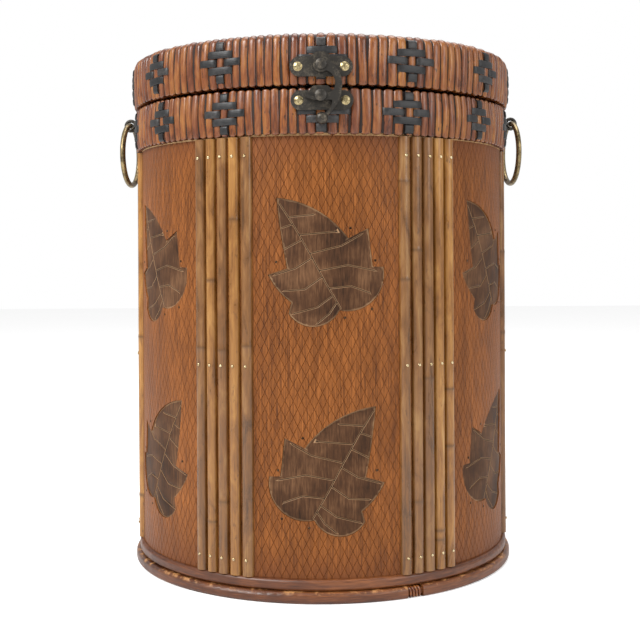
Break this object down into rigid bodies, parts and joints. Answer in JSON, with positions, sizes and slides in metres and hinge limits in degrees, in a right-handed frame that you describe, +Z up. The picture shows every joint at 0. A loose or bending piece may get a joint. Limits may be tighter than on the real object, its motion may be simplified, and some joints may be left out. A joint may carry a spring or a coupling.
{
  "type": "wicker storage chest",
  "caption": "Round lidded chest with leaf-inlaid veneer panels, split bamboo poles, rattan-wrapped rim and lid, swing-hook latch and ring handles.",
  "frame": {"origin": "on the floor at the middle of the drum, on the underside of the base", "axes": "+Z up along the drum's axis; the latch faces -Y; +X is to the right seen from the front"},
  "size_m": [0.3046, 0.2911, 0.365],
  "materials": {
    "panel_veneer": "satin lacquered veneer, honey brown",
    "leaf_veneer": "dark stained carved veneer",
    "bamboo": "varnished split bamboo",
    "rattan": "glossy stained rattan",
    "black_cane": "black dyed cane, satin",
    "moulding": "stained bent wood",
    "plywood": "plain bent plywood",
    "bronze": "antique bronze, worn edges",
    "ring_bronze": "antique brass, worn",
    "pin_brass": "polished brass",
    "screw_brass": "brushed brass",
    "dark_brads": "dark oxidised"
  },
  "bodies": {
    "chest_body": {"panel_front": "panel_veneer", "leaf_upper_front": "leaf_veneer", "leaf_lower_front": "leaf_veneer", "panel_front_right": "panel_veneer", "leaf_upper_front_right": "leaf_veneer", "leaf_lower_front_right": "leaf_veneer", "panel_back_right": "panel_veneer", "leaf_upper_back_right": "leaf_veneer", "leaf_lower_back_right": "leaf_veneer", "panel_back": "panel_veneer", "leaf_upper_back": "leaf_veneer", "leaf_lower_back": "leaf_veneer", "panel_back_left": "panel_veneer", "leaf_upper_back_left": "leaf_veneer", "leaf_lower_back_left": "leaf_veneer", "panel_front_left": "panel_veneer", "leaf_upper_front_left": "leaf_veneer", "leaf_lower_front_left": "leaf_veneer", "poles_front_right": "bamboo", "poles_right": "bamboo", "poles_back_right": "bamboo", "poles_back_left": "bamboo", "poles_left": "bamboo", "poles_front_left": "bamboo", "base_board": "plywood", "drum_wall": "plywood", "base_moulding_lower": "moulding", "base_moulding_upper": "moulding", "base_binding": "rattan", "rim_hoop": "plywood", "rim_wrap": "rattan", "rim_weavers": "black_cane", "pole_pins": "pin_brass", "leaf_brads": "dark_brads", "catch_plate": "bronze", "catch_post": "bronze", "catch_screws": "screw_brass", "hinge_leaf_body": "bronze", "hinge_screws_body": "screw_brass", "hinge_pin": "bronze", "handle_eye_left": "bronze", "handle_eye_right": "bronze", "handle_nuts": "bronze"},
    "lid": {"lid_hoop": "plywood", "lid_wrap": "rattan", "lid_weavers": "black_cane", "lid_panel": "panel_veneer", "lid_moulding": "moulding", "latch_plate": "bronze", "pivot_rivet": "bronze", "latch_screws": "screw_brass", "hinge_leaf_lid": "bronze", "hinge_screws_lid": "screw_brass"},
    "latch_arm": {"swing_arm": "bronze"},
    "left_ring": {"ring_left": "ring_bronze"},
    "right_ring": {"ring_right": "ring_bronze"}
  },
  "joints": [
    {"name": "lid_hinge", "type": "hinge", "parent": "chest_body", "child": "lid", "pos_m": [0, 0.1413, 0.33], "axis": [-1, 0, 0], "range_deg": [0, 105]},
    {"name": "latch_swing", "type": "hinge", "parent": "lid", "child": "latch_arm", "pos_m": [0.0004, -0.1435, 0.3433], "axis": [0, -1, 0], "range_deg": [0, 120]},
    {"name": "left_ring_swing", "type": "hinge", "parent": "chest_body", "child": "left_ring", "pos_m": [-0.14719, 0.01547, 0.32365], "axis": [0.1045, 0.9945, 0], "range_deg": [-6, 120]},
    {"name": "right_ring_swing", "type": "hinge", "parent": "chest_body", "child": "right_ring", "pos_m": [0.14719, 0.01547, 0.32365], "axis": [0.1045, -0.9945, 0], "range_deg": [-6, 120]}
  ]
}
